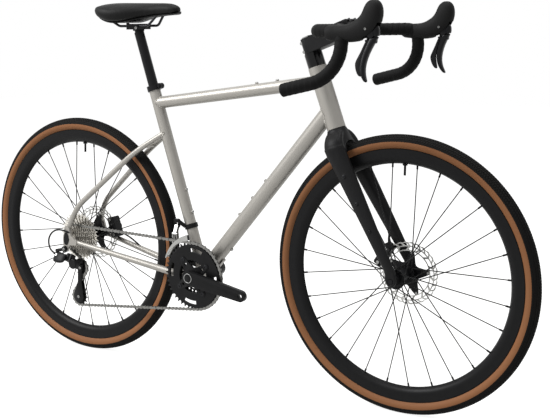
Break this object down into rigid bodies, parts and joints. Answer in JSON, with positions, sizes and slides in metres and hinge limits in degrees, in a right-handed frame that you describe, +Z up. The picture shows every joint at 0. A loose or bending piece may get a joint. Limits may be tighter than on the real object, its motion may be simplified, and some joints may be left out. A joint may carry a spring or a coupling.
{
  "type": "gravel bicycle",
  "caption": "Gravel bicycle with a bare metal frame, black fork, drop handlebar, disc brakes, derailleur gears and tan-walled tyres on deep black rims, shown without pedals.",
  "frame": {"origin": "on the ground, in the middle plane of the frame, midway between the two wheel axles", "axes": "+X forward, +Y to the rider's left, so the chain is at -Y, and +Z up"},
  "size_m": [1.7408, 0.4984, 1.0267],
  "materials": {
    "titanium": "satin brushed bare metal",
    "black_composite": "matt black composite",
    "black_alloy": "black anodised alloy",
    "gloss_black": "gloss black",
    "steel": "bright steel",
    "dark_steel": "black oxidised steel",
    "tyre": "black tread with tan side walls",
    "rubber": "matt rubber",
    "black_plastic": "matt moulded plastic",
    "cover": "smooth synthetic cover"
  },
  "bodies": {
    "frame": {"head_tube": "titanium", "top_tube": "titanium", "down_tube": "titanium", "seat_tube": "titanium", "bottom_bracket_shell": "titanium", "chainstays": "titanium", "seatstays": "titanium", "dropouts": "titanium", "seat_clamp": "black_alloy", "headset_bearings": "steel", "bottom_bracket_cups": "black_alloy", "rear_thru_axle": "dark_steel", "rear_caliper": "black_alloy", "rear_housings": "black_plastic", "front_derailleur_body": "black_alloy", "chain": "steel"},
    "steering": {"fork": "black_composite", "front_thru_axle": "dark_steel", "front_caliper": "black_alloy", "front_brake_hose": "black_plastic", "headset_spacers": "gloss_black", "stem": "black_alloy", "stem_bolts": "dark_steel", "handlebar": "black_alloy", "bar_tape": "rubber", "brake_hoods": "rubber"},
    "front_wheel": {"front_tyre": "tyre", "front_rim": "black_composite", "front_spokes": "dark_steel", "front_hub": "black_alloy", "front_rotor": "steel"},
    "rear_wheel": {"rear_tyre": "tyre", "rear_rim": "black_composite", "rear_spokes": "dark_steel", "rear_hub": "black_alloy", "rear_rotor": "steel"},
    "cassette": {"cassette": "steel"},
    "crank": {"chainrings": "black_alloy", "right_crank_arm": "black_alloy", "left_crank_arm": "black_alloy"},
    "derailleur_b_knuckle": {"derailleur_b_knuckle": "black_alloy"},
    "derailleur_outer_link": {"derailleur_outer_link": "black_alloy"},
    "derailleur_inner_link": {"derailleur_inner_link": "black_alloy"},
    "derailleur_p_knuckle": {"derailleur_p_knuckle": "black_alloy"},
    "derailleur_cage": {"derailleur_cage": "black_alloy"},
    "upper_pulley": {"upper_pulley": "black_plastic"},
    "lower_pulley": {"lower_pulley": "black_plastic"},
    "front_derailleur_link": {"front_derailleur_link": "black_alloy"},
    "front_derailleur_cage": {"front_derailleur_cage": "steel"},
    "seatpost": {"seatpost": "black_composite", "saddle_clamp": "black_alloy"},
    "saddle": {"saddle_rails": "dark_steel", "saddle_shell": "black_plastic", "saddle_pad": "cover"},
    "right_lever_pivot": {"right_lever_pivot": "black_alloy"},
    "right_brake_lever": {"right_brake_lever": "black_alloy"},
    "right_shift_paddle": {"right_shift_paddle": "black_alloy"},
    "left_lever_pivot": {"left_lever_pivot": "black_alloy"},
    "left_brake_lever": {"left_brake_lever": "black_alloy"},
    "left_shift_paddle": {"left_shift_paddle": "black_alloy"}
  },
  "joints": [
    {"name": "steering", "type": "hinge", "parent": "frame", "child": "steering", "pos_m": [0.33981, 0, 0.70601], "axis": [-0.3355, 0, 0.9421], "range_deg": [-70, 70]},
    {"name": "front_wheel_spin", "type": "hinge", "parent": "steering", "child": "front_wheel", "pos_m": [0.5205, 0, 0.35], "axis": [0, 1, 0], "continuous": true},
    {"name": "rear_wheel_spin", "type": "hinge", "parent": "frame", "child": "rear_wheel", "pos_m": [-0.5205, 0, 0.35], "axis": [0, 1, 0], "continuous": true},
    {"name": "crank_spin", "type": "hinge", "parent": "frame", "child": "crank", "pos_m": [-0.08215, 0, 0.286], "axis": [0, 1, 0], "continuous": true, "deforming": ["chain"]},
    {"name": "cassette_spin", "type": "hinge", "parent": "frame", "child": "cassette", "pos_m": [-0.5205, 0, 0.35], "axis": [0, 1, 0], "continuous": true},
    {"name": "derailleur_hang", "type": "hinge", "parent": "frame", "child": "derailleur_b_knuckle", "pos_m": [-0.5295, -0.084, 0.321], "axis": [0, 1, 0], "range_deg": [0, 15], "stiffness_Nm_per_rad": 2, "deforming": ["rear_housings"]},
    {"name": "derailleur_shift", "type": "hinge", "parent": "derailleur_b_knuckle", "child": "derailleur_outer_link", "pos_m": [-0.553, -0.084, 0.298], "axis": [0, 0.5446, 0.8387], "range_deg": [-28, 44.76], "stiffness_Nm_per_rad": 0.6},
    {"name": "derailleur_inner_link", "type": "hinge", "parent": "derailleur_b_knuckle", "child": "derailleur_inner_link", "pos_m": [-0.553, -0.07226, 0.29037], "axis": [0, 0.5446, 0.8387], "range_deg": [-28, 44.76]},
    {"name": "derailleur_p_knuckle", "type": "hinge", "parent": "derailleur_outer_link", "child": "derailleur_p_knuckle", "pos_m": [-0.515, -0.084, 0.298], "axis": [0, 0.5446, 0.8387], "range_deg": [-44.76, 28]},
    {"name": "cage_swing", "type": "hinge", "parent": "derailleur_p_knuckle", "child": "derailleur_cage", "pos_m": [-0.494, -0.066, 0.281], "axis": [0, 1, 0], "range_deg": [-35, 20], "stiffness_Nm_per_rad": 1},
    {"name": "upper_pulley_spin", "type": "hinge", "parent": "derailleur_cage", "child": "upper_pulley", "pos_m": [-0.498, -0.047, 0.262], "axis": [0, 1, 0], "continuous": true},
    {"name": "lower_pulley_spin", "type": "hinge", "parent": "derailleur_cage", "child": "lower_pulley", "pos_m": [-0.50938, -0.047, 0.17272], "axis": [0, 1, 0], "continuous": true},
    {"name": "front_derailleur_shift", "type": "hinge", "parent": "frame", "child": "front_derailleur_link", "pos_m": [-0.15015, -0.027, 0.418], "axis": [1, 0, 0], "range_deg": [0, 18], "stiffness_Nm_per_rad": 0.5},
    {"name": "front_derailleur_cage", "type": "hinge", "parent": "front_derailleur_link", "child": "front_derailleur_cage", "pos_m": [-0.15015, -0.037, 0.396], "axis": [1, 0, 0], "range_deg": [-18, 0]},
    {"name": "seatpost_slide", "type": "slide", "parent": "frame", "child": "seatpost", "axis": [-0.2924, 0, 0.9563], "range_m": [-0.08, 0.04]},
    {"name": "saddle_slide", "type": "slide", "parent": "seatpost", "child": "saddle", "axis": [1, 0, 0], "range_m": [-0.015, 0.015]},
    {"name": "right_brake_pull", "type": "hinge", "parent": "steering", "child": "right_lever_pivot", "pos_m": [0.52997, -0.197, 0.9504], "axis": [0, 1, 0], "range_deg": [0, 16], "stiffness_Nm_per_rad": 1.6},
    {"name": "right_blade_swing", "type": "hinge", "parent": "right_lever_pivot", "child": "right_brake_lever", "pos_m": [0.53897, -0.197, 0.9244], "axis": [1, 0, 0], "range_deg": [0, 15], "stiffness_Nm_per_rad": 0.8},
    {"name": "right_paddle_swing", "type": "hinge", "parent": "right_brake_lever", "child": "right_shift_paddle", "pos_m": [0.52487, -0.197, 0.9244], "axis": [1, 0, 0], "range_deg": [0, 12], "stiffness_Nm_per_rad": 0.5},
    {"name": "left_brake_pull", "type": "hinge", "parent": "steering", "child": "left_lever_pivot", "pos_m": [0.52997, 0.197, 0.9504], "axis": [0, 1, 0], "range_deg": [0, 16], "stiffness_Nm_per_rad": 1.6},
    {"name": "left_blade_swing", "type": "hinge", "parent": "left_lever_pivot", "child": "left_brake_lever", "pos_m": [0.53897, 0.197, 0.9244], "axis": [-1, 0, 0], "range_deg": [0, 15], "stiffness_Nm_per_rad": 0.8},
    {"name": "left_paddle_swing", "type": "hinge", "parent": "left_brake_lever", "child": "left_shift_paddle", "pos_m": [0.52487, 0.197, 0.9244], "axis": [-1, 0, 0], "range_deg": [0, 12], "stiffness_Nm_per_rad": 0.5}
  ],
  "couplings": [
    {"joint": "cassette_spin", "follows": "crank_spin", "ratio": 2.4211},
    {"joint": "upper_pulley_spin", "follows": "crank_spin", "ratio": -4.1818},
    {"joint": "lower_pulley_spin", "follows": "crank_spin", "ratio": 3.5385},
    {"joint": "derailleur_inner_link", "follows": "derailleur_shift", "ratio": 1},
    {"joint": "derailleur_p_knuckle", "follows": "derailleur_shift", "ratio": -1},
    {"joint": "front_derailleur_cage", "follows": "front_derailleur_shift", "ratio": -1}
  ]
}
